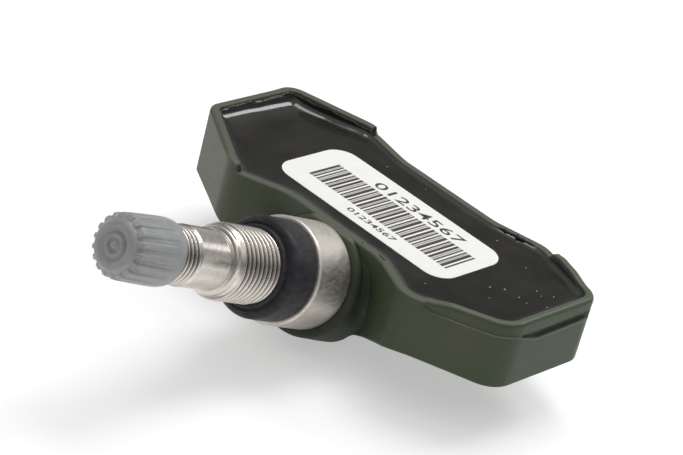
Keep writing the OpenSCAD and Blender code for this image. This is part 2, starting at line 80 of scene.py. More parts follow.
floor_level = -15.17
floor_half = 1500
floor = bpy.data.objects.new("floor", bpy.data.meshes.new("floor"))
corners = np.array([(-1, -1), (1, -1), (1, 1), (-1, 1)]) * floor_half
floor.data.from_pydata(
    (np.column_stack([corners, np.full(4, floor_level)]) * 0.001).tolist(), [], [(0, 1, 2, 3)])
scene.collection.objects.link(floor)
floor_paint, tree, shader = new_material("floor_paint")
place = add_node(tree, "ShaderNodeTexCoord")
clouds = add_node(tree, "ShaderNodeTexNoise", Scale=3.0, Detail=3.0)
tint = add_node(tree, "ShaderNodeValToRGB")
tint.color_ramp.elements[0].color = (0.68, 0.68, 0.68, 1)
tint.color_ramp.elements[1].color = (0.72, 0.72, 0.72, 1)
tree.links.new(place.outputs["Object"], clouds.inputs["Vector"])
tree.links.new(clouds.outputs["Fac"], tint.inputs["Fac"])
tree.links.new(tint.outputs["Color"], shader.inputs["Base Color"])
shader.inputs["Roughness"].default_value = 0.9
shader.inputs["Specular IOR Level"].default_value = 0.1
shader.inputs["Emission Color"].default_value = (1, 1, 1, 1)
shader.inputs["Emission Strength"].default_value = 0.42
floor.data.materials.append(floor_paint)

world = bpy.data.worlds.new("white_room")
world.use_nodes = True
scene.world = world
tree = world.node_tree
room = tree.nodes["Background"]
direction = add_node(tree, "ShaderNodeTexCoord")
height = add_node(tree, "ShaderNodeSeparateXYZ")
walls = add_node(tree, "ShaderNodeValToRGB")
walls.color_ramp.elements[0].position = 0.1
walls.color_ramp.elements[0].color = (0.45, 0.45, 0.46, 1)
walls.color_ramp.elements[1].position = 0.52
walls.color_ramp.elements[1].color = (0.13, 0.13, 0.135, 1)
ceiling = walls.color_ramp.elements.new(0.85)
ceiling.color = (0.85, 0.85, 0.85, 1)
tree.links.new(direction.outputs["Generated"], height.inputs["Vector"])
tree.links.new(height.outputs["Z"], walls.inputs["Fac"])
tree.links.new(walls.outputs["Color"], room.inputs["Color"])
room.inputs["Strength"].default_value = 1.0


def lamp(name, at, aim, size, power):
    """A flat lamp at a place, turned so that its face looks at the aim, both in millimetres."""
    light = bpy.data.objects.new(name, bpy.data.lights.new(name, "AREA"))
    light.data.shape = "RECTANGLE"
    light.data.size, light.data.size_y = size[0] * 0.001, size[1] * 0.001
    light.data.energy = power
    ahead = np.subtract(aim, at) / np.linalg.norm(np.subtract(aim, at))
    side = np.cross(ahead, (0, 0, 1))
    side /= np.linalg.norm(side)
    up = np.cross(side, ahead)
    light.matrix_world = Matrix([
        (side[i], up[i], -ahead[i], at[i] * 0.001) for i in range(3)
    ] + [(0, 0, 0, 1)])
    scene.collection.objects.link(light)


lamp("lamp_overhead", (-50, 130, 400), (0, 20, 0), (190, 190), 0.62)
lamp("lamp_high_behind", (55, 330, 300), (0, 20, 0), (120, 120), 0.4)
lamp("lamp_low_behind", (80, 485, 130), (0, -10, 3), (130, 70), 0.06)
lamp("lamp_left", (-420, -160, 200), (0, 10, 0), (200, 200), 0.12)


# Housing
# The moulded tub of glass-filled plastic, dark olive, with a raised rim round both lobes and a
# low one along the waist, an arched underside with a belly, and the boss that grips the stem.
# It comes from the mould in one piece, with a parting step and a shallow slot at its right end.
def millimetres(points):
    """Points in millimetres as metres."""
    return np.asarray(points, dtype=np.float64) * 0.001


def grid_faces(rows, columns, wrap, first=0):
    """Quads of a grid of rows by columns, counted row after row from the vertex number first.
    With wrap the last column joins the first."""
    i, j = np.meshgrid(
        np.arange(rows - 1), np.arange(columns if wrap else columns - 1), indexing="ij")
    k = (j + 1) % columns
    quads = np.stack([
        i * columns + j, i * columns + k, (i + 1) * columns + k, (i + 1) * columns + j], axis=-1)
    return quads.reshape(-1, 4) + first


def fill_mesh(name, points, faces, smooth=True):
    """A mesh from an array of points in millimetres and an array of quads, filled in one go."""
    mesh = bpy.data.meshes.new(name)
    count = len(faces)
    width = faces.shape[1]
    mesh.vertices.add(len(points))
    mesh.vertices.foreach_set("co", millimetres(points).ravel())
    mesh.loops.add(count * width)
    mesh.loops.foreach_set("vertex_index", faces.ravel().astype(np.int32))
    mesh.polygons.add(count)
    mesh.polygons.foreach_set("loop_start", (np.arange(count) * width).astype(np.int32))
    mesh.polygons.foreach_set("use_smooth", np.full(count, smooth))
    mesh.update(calc_edges=True)
    mesh.validate()
    return mesh


def add_piece(name, mesh, material, body):
    """An object at the origin for the mesh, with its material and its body."""
    piece = bpy.data.objects.new(name, mesh)
    scene.collection.objects.link(piece)
    mesh.materials.append(material)
    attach(piece, body)
    return piece


def joined(*parts):
    """Points and quads of several grids as one, with the later quads counted on."""
    points = np.concatenate([p for p, f in parts])
    starts = np.cumsum([0] + [len(p) for p, f in parts[:-1]])
    return points, np.concatenate([f + s for (p, f), s in zip(parts, starts)])


def ease(x, low, high):
    """0 below low, 1 above high, and three times the square less twice the cube between."""
    t = np.clip((x - low) / (high - low), 0, 1)
    return t * t * (3 - 2 * t)


def soft_low(a, b, r):
    """The lower of two heights, with their crease rounded over a width of r."""
    h = np.clip(0.5 + 0.5 * (b - a) / r, 0, 1)
    return b + (a - b) * h - r * h * (1 - h)


def soft_high(a, b, r):
    """The higher of two heights, with their crease rounded over a width of r."""
    return -soft_low(-a, -b, r)


# The middle of the label, which the tub is drawn from, and the stem's tilt against it
label_y, label_z = 26.3, 2.2
stem_tilt = math.radians(20.5)
housing_shift = -0.25
half_length = 30.3
wall = 1.3
# Corners of the outline, round the tub from its front: x, y and the radius there
corner_table = np.array([
    (9, -11.1, 9), (17.1, -14.8, 4.5), (half_length, -7.3, 5.0), (half_length, 10.9, 3.2),
    (17.1, 14.99, 4.5), (9, 13.1, 9), (-9, 13.1, 9), (-17.1, 14.99, 4.5), (-half_length, 9.3, 3.4),
    (-half_length, -7.3, 2.4), (-17.1, -14.8, 4.5), (-9, -11.1, 9)])


def rounded_outline(corners, steps, count):
    """Points and outward normals round the tub, evenly spaced. Each corner of the table is an
    arc of its own radius, tangent to both neighbouring sides, and the sides are straight."""
    at, radius = corners[:, :2], corners[:, 2]
    before = at - np.roll(at, 1, axis=0)
    after = np.roll(at, -1, axis=0) - at
    before /= np.linalg.norm(before, axis=1)[:, None]
    after /= np.linalg.norm(after, axis=1)[:, None]
    n1 = np.column_stack([before[:, 1], -before[:, 0]])
    n2 = np.column_stack([after[:, 1], -after[:, 0]])
    side = np.sign(before[:, 0] * after[:, 1] - before[:, 1] * after[:, 0])
    turn = np.arccos(np.clip((before * after).sum(axis=1), -1, 1))
    reach = (n1 + n2) / (1 + (n1 * n2).sum(axis=1))[:, None]
    centre = at - (side * radius)[:, None] * reach
    start = np.arctan2(side * n1[:, 1], side * n1[:, 0])
    angle = start[:, None] + (side * turn)[:, None] * np.linspace(0, 1, steps)
    ray = np.stack([np.cos(angle), np.sin(angle)], axis=-1)
    points = (centre[:, None] + radius[:, None, None] * ray).reshape(-1, 2)
    normals = (side[:, None, None] * ray).reshape(-1, 2)
    closed = np.vstack([points, points[:1]])
    length = np.concatenate([[0], np.cumsum(np.linalg.norm(np.diff(closed, axis=0), axis=1))])
    want = np.linspace(0, length[-1], count, endpoint=False)
    both = np.hstack([closed, np.vstack([normals, normals[:1]])])
    out = np.column_stack([np.interp(want, length, column) for column in both.T])
    out[:, 2:] /= np.linalg.norm(out[:, 2:], axis=1)[:, None]
    return out[:, :2] + (housing_shift, 0), out[:, 2:]


def rim_height(x, y):
    """Height of the rim over the label: raised over both lobes, low along the waist, with a
    low swell behind the right step where the compound drew the wall up."""
    height = np.interp(
        x, [-32.3, -17.3, -16.8, 19.3, 19.8, 32.3], [2.6, 1.4, 0.35, 0.35, 1.0, 0.85])
    height -= 0.45 * ease(x, 19.2, 19.8) * ease(x, 23, 20) * (y < 0)
    swell = ease(x, 19.4, 22) * ease(x, 27.5, 23.5) + 0.4 * ease(x, 19.3, 19.8) * ease(x, 23, 20)
    return height + 0.5 * swell * (y > 0)


def underside(x, y):
    """Height of the underside: an arch, and under the waist a round belly with flared sides,
    which ends in a slope towards the back. The lowest of the forms holds, rounded over."""
    arch_radius, belly_radius = 444, 8.8
    arch = -7.5 - arch_radius + np.sqrt(arch_radius ** 2 - (x + 7.8) ** 2)
    belly = -8.1 - np.sqrt(np.maximum(belly_radius ** 2 - x ** 2, 0))
    flare = np.interp(np.abs(x), [0, 7.8, 13, 19], [-12.7, -12.7, -10.2, -7.5])
    lowest = np.where(np.abs(x) < belly_radius, soft_low(belly, flare, 1.2), flare)
    slope = np.interp(y, [-15.8, -10.7, -2.2, 11, 20], [-15.8, -18.2, -18.2, -7.5, 0.0])
    return soft_low(arch, soft_high(lowest, slope, 1.2), 1.0)


def to_label(points):
    """Points given from the label's middle, moved into the part's frame."""
    return points + (0, label_y, label_z)


around = 520
edge, edge_normal = rounded_outline(corner_table, 25, around)
# The spine is the line inside the tub that every ring of the underside shrinks to
spine = np.column_stack([np.clip(edge[:, 0], -21, 21), np.full(around, 0.5)])

# Parting step along the right lobe: it starts at the rim, falls to the slot and ends behind
step_x = [18.6, 19.6, 20.9, 24, 26.6, 28.3]
step_level = [0.5, -0.25, -0.78, -0.92, -1.0, -1.0]
step_y = [-7.8, -5.5, -4.7, -0.9, 3.7, 8.7, 10.5]
step_end = [-0.95, -1.06, -1.41, -2.41, -2.33, -2.21, -2.1]
slot_top = [-0.95, -1.0, -1.06, -1.16, -1.06, -0.91, -0.8]


def step_height(x, y):
    """Height of the parting step: along the front wall by x, on the end wall by y."""
    return np.where(x < 28.9, np.interp(x, step_x, step_level), np.interp(y, step_y, step_end))


def wall_recess(x, y, z):
    """How far the outer wall stands back from the outline: a hair above the parting step, and
    half a millimetre in the wedge-shaped slot of the right end wall."""
    on_end = ease(x, 28.6, 29.7)
    on_front = ease(x, 18.2, 18.9) * (y < 0)
    level = step_height(x, y)
    behind = ease(y, 10.1, 8.9)
    above = ease(z - level, -0.05, 0.06)
    step = 0.16 * above * np.maximum(on_front, on_end * behind)
    wedge = ease(z - level, 0.0, 0.1) * ease(np.interp(y, step_y, slot_top) - z, -0.05, 0.12)
    return step + 0.55 * wedge * on_end * ease(y, -4.9, -3.4) * behind


# Two bores open below: the pressure port, and the air passage in line with the stem. Each has a
# start, its second cross direction, its direction inwards, a radius and where it may begin
stem_up = np.array([0, math.sin(stem_tilt), math.cos(stem_tilt)])
stem_in = np.array([0, -math.cos(stem_tilt), math.sin(stem_tilt)])
bores = ((np.array([17, 0, 0]), np.array([0, 1, 0]), np.array([0, 0, 1]), 0.9, -15),
         (np.array([0, -label_y, -label_z]), stem_up, stem_in, 1.5, 1))


def housing_walls():
    """Rings of the tub, from the underside's spine outwards, round the bottom edge, up the outer
    wall, over the rim and down the inner wall. Ring after ring is the outline moved inwards by
    an inset, at a height of its own; the rounded edges are quarter circles."""
    rings = []

    def ring(inset, z):
        """One ring: the outline moved inwards, at a height for each point."""
        xy = edge - edge_normal * np.reshape(inset, (-1, 1))
        rings.append(np.column_stack([xy, np.broadcast_to(z, around)]))

    foot, inner_edge = 0.35, 0.2
    band_low, band_high = -3.1, -0.5
    base = edge - edge_normal * foot
    for t in np.linspace(1, 0, 44) ** 1.15:
        xy = base + (spine - base) * t
        rings.append(np.column_stack([xy, underside(xy[:, 0], xy[:, 1])]))
    low = underside(base[:, 0], base[:, 1])
    for a in np.radians([18, 36, 54, 72, 90]):
        ring(foot * (1 - math.sin(a)), low + foot * (1 - math.cos(a)))
    top = rim_height(*edge.T)
    lip = 0.3 + 0.3 * np.maximum(
        ease(edge[:, 0], 18, 21), ease(-edge[:, 0], 18, 21) * ease(edge[:, 1], 9, 5))
    under = low + foot
    for t in np.linspace(0.03, 1, 24):
        z = under + (band_low - under) * t
        ring(wall_recess(edge[:, 0], edge[:, 1], z), z)
    for z in np.linspace(band_low + 0.1, band_high, 46):
        level = np.full(around, z)
        ring(wall_recess(edge[:, 0], edge[:, 1], level), z)
    for t in np.linspace(0.1, 1, 12):
        z = band_high + (top - lip - band_high) * t
        ring(wall_recess(edge[:, 0], edge[:, 1], z), z)
    back = wall_recess(edge[:, 0], edge[:, 1], top - lip)
    for a in np.radians([15, 30, 45, 60, 75, 90]):
        ring(back + lip * (1 - math.cos(a)), top - lip + lip * math.sin(a))
    for t in (0.3, 0.5, 0.7):
        ring(lip + back * (1 - t) + (wall - inner_edge - lip) * t, top)
    for a in np.radians([0, 30, 60, 90]):
        ring(wall - inner_edge + inner_edge * math.sin(a), top - inner_edge + inner_edge * math.cos(a))
    for t in (0.25, 0.5, 0.75, 1):
        ring(wall, top - inner_edge + (-1.2 - top) * t)
    points = np.concatenate(rings)
    for start, up, push, radius, back in bores:
        u = points[:, 0] - start[0]
        v = (points - start) @ up
        reach = np.hypot(u, v)
        below = (points[:, 2] < -6) & (points[:, 1] > back)
        wide = radius + 0.16
        inside = below & (reach < wide)
        snap = below & (np.abs(reach - wide) < 0.15)
        drawn = np.where(inside, wide - 0.03, wide + 0.03) / np.maximum(reach, 0.1) - 1
        points += (drawn * snap)[:, None] * (u[:, None] * (1, 0, 0) + v[:, None] * up)
        points += 1.5 * inside[:, None] * push
    return points, grid_faces(len(rings), around, True)


def bore_mouth(start, up, push, radius, back):
    """The mouth of a bore: its floor, its wall, and a thin collar that lies on the underside.
    Each ring of points is slid along the bore until it meets the underside, by halving the
    span that holds the crossing, and is then set in or out by the row's own amount."""
    count = 48
    turn = np.linspace(0, 2 * math.pi, count, endpoint=False)
    rings = []
    for r, sunk in ((0.01, 1.3), (radius * 0.6, 1.3), (radius, 1.3), (radius, 1.2), (radius, 0.12),
                    (radius + 0.01, 0.04), (radius + 0.05, -0.02), (radius + 0.11, -0.035),
                    (radius + 0.24, -0.035), (radius + 0.31, -0.01), (radius + 0.36, 0.08)):
        across = np.outer(r * np.cos(turn), (1, 0, 0)) + np.outer(r * np.sin(turn), up) + start
        low, high = np.full(count, -40.0), np.full(count, -6.1)
        for _ in range(32):
            middle = (low + high) / 2
            p = across + np.outer(middle, push)
            inside = p[:, 2] > underside(p[:, 0], p[:, 1])
            low, high = np.where(inside, low, middle), np.where(inside, middle, high)
        rings.append(across + np.outer(high + sunk, push))
    return np.concatenate(rings), grid_faces(len(rings), count, True)


def on_stem(x, y, w):
    """Points given across the stem and along its axis, moved into the part's frame."""
    c, s = math.cos(stem_tilt), math.sin(stem_tilt)
    return np.stack([x, s * y - c * w, c * y + s * w], axis=-1)


def boss_surface():
    """The boss, turned about the stem: a ring behind the collar, a rounded edge, and a cone
    that widens to the back. Near the tub's wall its radius grows as a fillet does: by R less
    the root of R squared less the square of what is left of R."""
    count, fillet = 200, 1.7
    mouth, cone_radius, cone_start = 8.4, 8.58, -13.7
    angle = np.linspace(0, 2 * math.pi, count, endpoint=False)
    front_x = edge[edge_normal[:, 1] < -0.05]
    order = np.argsort(front_x[:, 0])
    front = np.interp(mouth * np.cos(angle), front_x[order, 0], front_x[order, 1])
    wall_w = (math.sin(stem_tilt) * mouth * np.sin(angle) - label_y - front) / math.cos(stem_tilt)
    end_w = np.minimum(wall_w - 0.5, -13.8)
    rows = [(7.0, -12.76), (7.45, -12.76), (7.7, -12.77), (7.95, -12.82), (8.2, -12.95),
            (mouth, -13.15), (8.52, -13.4)]
    rows += [(0, cone_start + (end_w - cone_start) * t) for t in np.linspace(0, 1, 40)]
    rings = []
    for r, w in rows:
        if r == 0:
            r = cone_radius + 0.14 * np.clip((cone_start - w) / 4.6, 0, 1)
            depth = np.clip(1 - (w - wall_w) / fillet, 0, 1) * ease(w, cone_start, -14.4)
            r = r + (fillet - fillet * np.sqrt(1 - depth ** 2)) * ease(-np.sin(angle), 0.6, 0.1)
        p = on_stem(np.cos(angle) * r, np.sin(angle) * r, np.broadcast_to(w, count))
        p -= (0, label_y, label_z)
        p[:, 2] = soft_low(p[:, 2], np.full(count, 0.33), 0.25)
        rings.append(p)
    # Rows run to the back, so the quads are turned round to face outwards
    return np.concatenate(rings), grid_faces(len(rings), count, True)[:, ::-1]


def colour_group():
    """Two colours mixed by soft clouds, with a fine grain that changes the gloss and the height.
    Used for every moulded, cast or turned surface, each with its own colours and sizes."""
    group = bpy.data.node_groups.new("mottled_surface", "ShaderNodeTree")
    for name, kind, value in (
            ("Vector", "NodeSocketVector", (0, 0, 0)),
            ("Colour", "NodeSocketColor", (0.5, 0.5, 0.5, 1)),
            ("Second Colour", "NodeSocketColor", (0.5, 0.5, 0.5, 1)),
            ("Cloud Scale", "NodeSocketFloat", 100), ("Grain Scale", "NodeSocketFloat", 2000),
            ("Grain Height", "NodeSocketFloat", 0.1),
            ("Roughness Low", "NodeSocketFloat", 0.4), ("Roughness High", "NodeSocketFloat", 0.6)):
        socket = group.interface.new_socket(name=name, in_out="INPUT", socket_type=kind)
        socket.default_value = value
    for name, kind in (("Colour", "NodeSocketColor"), ("Roughness", "NodeSocketFloat"),
                       ("Normal", "NodeSocketVector")):
        group.interface.new_socket(name=name, in_out="OUTPUT", socket_type=kind)
    given = group.nodes.new("NodeGroupInput")
    result = group.nodes.new("NodeGroupOutput")
    clouds = add_node(group, "ShaderNodeTexNoise", Detail=4.0, Roughness=0.6)
    grain = add_node(group, "ShaderNodeTexNoise", Detail=2.0)
    spread = add_node(group, "ShaderNodeMapRange", From_Min=0.3, From_Max=0.7)
    mixed = group.nodes.new("ShaderNodeMix")
    mixed.data_type = "RGBA"
    gloss = add_node(group, "ShaderNodeMapRange", From_Min=0.3, From_Max=0.7)
    bump = add_node(group, "ShaderNodeBump", Distance=0.0002)
    link = group.links.new
    link(given.outputs["Vector"], clouds.inputs["Vector"])
    link(given.outputs["Vector"], grain.inputs["Vector"])
    link(given.outputs["Cloud Scale"], clouds.inputs["Scale"])
    link(given.outputs["Grain Scale"], grain.inputs["Scale"])
    link(clouds.outputs["Fac"], spread.inputs["Value"])
    link(spread.outputs["Result"], mixed.inputs["Factor"])
    link(given.outputs["Colour"], mixed.inputs[6])
    link(given.outputs["Second Colour"], mixed.inputs[7])
    link(grain.outputs["Fac"], gloss.inputs["Value"])
    link(given.outputs["Roughness Low"], gloss.inputs["To Min"])
    link(given.outputs["Roughness High"], gloss.inputs["To Max"])
    link(grain.outputs["Fac"], bump.inputs["Height"])
    link(given.outputs["Grain Height"], bump.inputs["Strength"])
    link(mixed.outputs[2], result.inputs["Colour"])
    link(gloss.outputs["Result"], result.inputs["Roughness"])
    link(bump.outputs["Normal"], result.inputs["Normal"])
    return group


mottled_surface = colour_group()


def mottled_material(name, colour, second, cloud=100.0, grain=2500.0, height=0.1,
                     gloss=(0.4, 0.5), metal=0.0, stretch=(1, 1, 1), turn=(0, 0, 0)):
    """A material that places the mottled surface on Object coordinates, stretched and turned
    as the piece was made. Returns the material, its tree, its shader and the placed group."""
    material, tree, shader = new_material(name)
    place = add_node(tree, "ShaderNodeTexCoord")
    lay = add_node(tree, "ShaderNodeMapping", Rotation=turn, Scale=stretch)
    surface = tree.nodes.new("ShaderNodeGroup")
    surface.node_tree = mottled_surface
    for socket, value in (
            ("Colour", (*colour, 1)), ("Second Colour", (*second, 1)), ("Cloud Scale", cloud),
            ("Grain Scale", grain), ("Grain Height", height), ("Roughness Low", gloss[0]),
            ("Roughness High", gloss[1])):
        surface.inputs[socket].default_value = value
    tree.links.new(place.outputs["Object"], lay.inputs["Vector"])
    tree.links.new(lay.outputs["Vector"], surface.inputs["Vector"])
    tree.links.new(surface.outputs["Colour"], shader.inputs["Base Color"])
    tree.links.new(surface.outputs["Roughness"], shader.inputs["Roughness"])
    tree.links.new(surface.outputs["Normal"], shader.inputs["Normal"])
    shader.inputs["Metallic"].default_value = metal
    return material, tree, shader, surface


olive_plastic, tree, shader, surface = mottled_material(
    "olive_plastic", (0.036, 0.062, 0.027), (0.066, 0.067, 0.040), cloud=45.0, grain=3000.0,
    height=0.03, gloss=(0.36, 0.48))
shader.inputs["Specular IOR Level"].default_value = 0.25
points, faces = joined(
    housing_walls(), boss_surface(), bore_mouth(*bores[0]), bore_mouth(*bores[1]))
housing_mesh = fill_mesh("housing_shell", to_label(points), faces)
housing = add_piece("housing_shell", housing_mesh, olive_plastic, "sensor")
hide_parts("housing")
# The rim's top and the step's edge are painted paler: partly wear from handling, partly painted light
# from above on the rim's top.
# The attribute is how near a point is to the rim's top, or to the step along the right lobe
x, y, z = points.T
worn_and_top_lit = ease(z - rim_height(x, y), -0.45, -0.02)
on_step = ease(x, 19.5, 23) * (y < 9.6) * ((y < -6) | (x > 28.6))
worn_and_top_lit = np.maximum(worn_and_top_lit, 2.6 * on_step * np.exp(-((z - step_height(x, y) + 0.07) / 0.07) ** 2))
worn_and_top_lit_layer = housing_mesh.attributes.new("worn_and_top_lit", "FLOAT", "POINT")
worn_and_top_lit_layer.data.foreach_set("value", worn_and_top_lit.astype(np.float32))
worn_and_top_lit_mask = add_node(tree, "ShaderNodeAttribute")
worn_and_top_lit_mask.attribute_name = "worn_and_top_lit"
worn_and_top_lit_share = add_node(tree, "ShaderNodeMapRange", From_Max=2.6)
# Wear and painted light: the rim's top and the step's edge are mixed towards a paler olive
paler = tree.nodes.new("ShaderNodeMix")
paler.data_type = "RGBA"
paler.inputs[7].default_value = (0.170, 0.180, 0.145, 1)
tree.links.new(worn_and_top_lit_mask.outputs["Fac"], worn_and_top_lit_share.inputs["Value"])
tree.links.new(worn_and_top_lit_share.outputs["Result"], paler.inputs["Factor"])
tree.links.new(surface.outputs["Colour"], paler.inputs[6])
# Painted shade, with some road grime, on the boss and the belly round the collar, where the stem and
# the collar shade them:
# there the plastic is painted near black and made dull. The attribute fades out along, above and
# behind them.
shade_and_grime_amount = ease(np.abs(x), 13.5, 8.5) * ease(z, -0.3, -4) * ease(y, 3, -6)
shade_and_grime = housing_mesh.attributes.new("shade_and_grime", "FLOAT", "POINT")
shade_and_grime.data.foreach_set("value", shade_and_grime_amount.astype(np.float32))
shade_and_grime_mask = add_node(tree, "ShaderNodeAttribute")
shade_and_grime_mask.attribute_name = "shade_and_grime"
patches = add_node(tree, "ShaderNodeTexNoise", Scale=260.0, Detail=4.0)
uneven = tree.nodes.new("ShaderNodeMath")
uneven.operation = "MULTIPLY"
cover = add_node(tree, "ShaderNodeMapRange", From_Min=0.0, From_Max=0.5, To_Max=0.75)
# Painted shade and grime: near black is mixed in by the attribute times the patches
shaded_and_sooty = tree.nodes.new("ShaderNodeMix")
shaded_and_sooty.data_type = "RGBA"
shaded_and_sooty.inputs[7].default_value = (0.016, 0.019, 0.012, 1)
dull = tree.nodes.new("ShaderNodeMix")
dull.inputs[3].default_value = 0.72
place = add_node(tree, "ShaderNodeTexCoord")
tree.links.new(place.outputs["Object"], patches.inputs["Vector"])
tree.links.new(shade_and_grime_mask.outputs["Fac"], uneven.inputs[0])
tree.links.new(patches.outputs["Fac"], uneven.inputs[1])
tree.links.new(uneven.outputs["Value"], cover.inputs["Value"])
tree.links.new(cover.outputs["Result"], shaded_and_sooty.inputs["Factor"])
tree.links.new(paler.outputs[2], shaded_and_sooty.inputs[6])
tree.links.new(shaded_and_sooty.outputs[2], shader.inputs["Base Color"])
tree.links.new(cover.outputs["Result"], dull.inputs["Factor"])
tree.links.new(surface.outputs["Roughness"], dull.inputs[2])
tree.links.new(dull.outputs[0], shader.inputs["Roughness"])


# Potting compound
# Black compound poured into the tub over the electronics. It set with a level face and climbs
# the walls in a thin glossy meniscus, highest round the left lobe where the rim stands tallest.
def potting_face():
    """Rings from inside the wall to the spine. The compound starts as a thin coat on the wall,
    with an uneven upper edge, runs down it and turns into the level face: there its height is a
    climb that fades as exp of minus the distance over a length, plus long low waves and a slow
    rise to the left end wall of the same form, which fades faster towards the back."""
    left_end, face_level = -29.2, -0.09
    x, y = edge.T
    length = np.arange(around) / around * 2 * math.pi
    uneven = 0.10 * np.sin(length * 17) + 0.07 * np.sin(length * 41 + 1)
    uneven += 0.04 * np.sin(length * 89)
    raised = rim_height(x, y) - 0.35
    top = np.where(raised > 0.1, raised + 0.35 - 0.42 + uneven * ease(raised, 0.3, 1.0), 0.3)
    lobe = ease(-x, 15.5, 18.5)
    coat = 0.1 + 0.06 * lobe + 0.03 * np.sin(length * 29)
    climb = 0.25 + 0.4 * lobe + 0.15 * ease(x, 19, 21)
    fade = 0.4 + 0.15 * lobe

    def level(xy, climb, fade, apart):
        """Height of the face at a distance from the coated wall."""
        x, y = xy.T
        waves = 0.02 * np.sin(x * 0.32 + 0.8) * np.cos(y * 0.35 + 0.3)
        waves += 0.006 * np.sin(x * 0.7 - y * 0.5)
        clear = ease(np.maximum(np.abs(x) - 17, np.abs(y) - 7.4), 0, 2.5)
        from_end = np.maximum(x - left_end, 0)
        rise = 1.3 * np.exp(-from_end / (3.3 - 1.5 * ease(y, -6, 8)))
        near = climb * np.exp(-np.maximum(apart, 0) / fade)
        return face_level + near + rise + (waves + 0.03) * clear

    def inset(amount):
        """The outline moved inwards."""
        return edge - edge_normal * np.reshape(amount, (-1, 1))

    start = inset(wall + coat)
    foot = level(start, climb, fade, np.zeros(around))
    rows = [np.column_stack([inset(wall - 0.3), top - 0.6]),
            np.column_stack([inset(wall - 0.3), top - 0.05]),
            np.column_stack([inset(wall - 0.02), top])]
    for share, down in ((0.55, 0.03), (0.9, 0.12)):
        rows.append(np.column_stack([inset(wall + coat * share), np.maximum(top - down, foot)]))
    for t in np.linspace(0, 1, 8):
        z = np.maximum(top - 0.25, foot) * (1 - t) + foot * t
        rows.append(np.column_stack([inset(wall + coat), z]))
    steps = np.concatenate([[0.004, 0.01, 0.018, 0.028, 0.04, 0.055], np.linspace(0.075, 1, 34)])
    xy = (start[None] + (spine - start)[None] * steps[:, None, None]).reshape(-1, 2)
    nearest = ((xy[:, None, :] - start[None]) ** 2).sum(axis=2).argmin(axis=1)
    apart = ((start[nearest] - xy) * edge_normal[nearest]).sum(axis=1)
    rows.append(np.column_stack([xy, level(xy, climb[nearest], fade[nearest], apart)]))
    points = np.concatenate(rows)
    return points, grid_faces(len(points) // around, around, True)


def dress(names, material):
    """Gives the CAD nodes of those names the material."""
    for name in names:
        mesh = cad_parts[name].data
        mesh.materials.clear()
        mesh.materials.append(material)


black_compound = mottled_material(
    "black_compound", (0.013, 0.0135, 0.012), (0.029, 0.0265, 0.0225), cloud=150.0, grain=900.0,
    height=0.012, gloss=(0.08, 0.15))[0]
points, faces = potting_face()
add_piece("potting_face", fill_mesh("potting_face", to_label(points), faces), black_compound,
          "sensor")
dress(["potting_compound"], black_compound)


# Flakes and specks
# Where the tub was overfilled, thin flakes of the compound stuck to the rim and tore: beside both
# left steps, along the back of the waist and in front of it. A few pale specks of dust lie on it.
def flake(low_x, high_x, side, middle, width, height, seed):
    """A ragged ridge along the rim. Both its width and its height are a sine from end to end,
    times one plus two short sines; across it the height is one less the square."""
    picked = np.flatnonzero(
        (edge[:, 0] > low_x) & (edge[:, 0] < high_x) & (np.sign(edge[:, 1]) == side))
    picked = picked[np.argsort(-side * edge[picked, 0])]
    t = np.linspace(0, 1, len(picked))
    across = np.linspace(-1, 1, 9)[:, None]
    swell = np.sin(math.pi * t) ** 0.6
    ragged = 1 + 0.3 * np.sin(t * 17 + seed) + 0.2 * np.sin(t * 41 + 2 * seed)
    inset = middle + 0.5 * width * across * swell * ragged
    xy = edge[picked] - edge_normal[picked] * inset[..., None]
    rim = rim_height(edge[picked, 0], edge[picked, 1])
    z = rim - 0.06 + height * (1 - across ** 2) * swell * ragged
    points = np.concatenate([xy, z[..., None]], axis=-1).reshape(-1, 3)
    return points, grid_faces(9, len(picked), False)


points, faces = joined(
    flake(9.4, 15.9, 1, 1.25, 0.6, 0.30, 1.0), flake(7.6, 9.9, -1, 0.75, 0.45, 0.16, 2.2),
    flake(-17.6, -15.9, 1, 0.85, 0.75, 1.05, 0.4), flake(-17.3, -15.9, -1, 0.6, 0.6, 0.85, 2.9),
    flake(4.6, 5.5, -1, 0.7, 0.3, 0.14, 0.2))
add_piece("compound_flakes", fill_mesh("compound_flakes", to_label(points), faces),
          black_compound, "sensor")


def specks(places):
    """A small flattened ball at each place, with its own radius, on the compound's face."""
    up, turn = np.meshgrid(
        np.linspace(0, math.pi / 2, 4), np.arange(8) * math.pi / 4, indexing="ij")
    ball = np.stack(
        [np.cos(up) * np.cos(turn), np.cos(up) * np.sin(turn), 0.5 * np.sin(up)], axis=-1)
    return joined(*(
        (ball.reshape(-1, 3) * r + (x, y, -0.05), grid_faces(4, 8, True)) for x, y, r in places))


pale_dust = mottled_material(
    "pale_dust", (0.42, 0.42, 0.40), (0.58, 0.58, 0.55), cloud=900.0, grain=5000.0,
    height=0.1, gloss=(0.6, 0.7))[0]
points, faces = specks([
    (20.4, -1.0, 0.12), (24.0, 1.0, 0.10), (25.5, 0.9, 0.09), (24.0, 4.7, 0.10), (25.2, 4.3, 0.08),
    (27.5, 2.9, 0.11), (22.3, -3.2, 0.08), (26.1, 5.9, 0.09), (-9.5, 9.4, 0.09), (-22.4, 3.1, 0.09),
    (12.2, 9.6, 0.10), (-2.4, 10.2, 0.08), (21.7, 0.6, 0.13), (19.1, 8.0, 0.09), (15.8, -9.1, 0.09),
    (-24.8, -2.6, 0.08)])
add_piece("dust_specks", fill_mesh("dust_specks", to_label(points), faces), pale_dust,
          "sensor")


# Label
# A white paper label with rounded corners, stuck flat on the compound. Its print is a generic
# field of bars with counting digits behind it and a smaller row in front, in dark ink.
white_paper = mottled_material(
    "white_paper", (0.90, 0.905, 0.86), (0.86, 0.87, 0.83), cloud=400.0, grain=4000.0,
    height=0.08, gloss=(0.55, 0.65))[0]
dress(["barcode_label"], white_paper)

ink_top = 0.012
counting = "01234567"


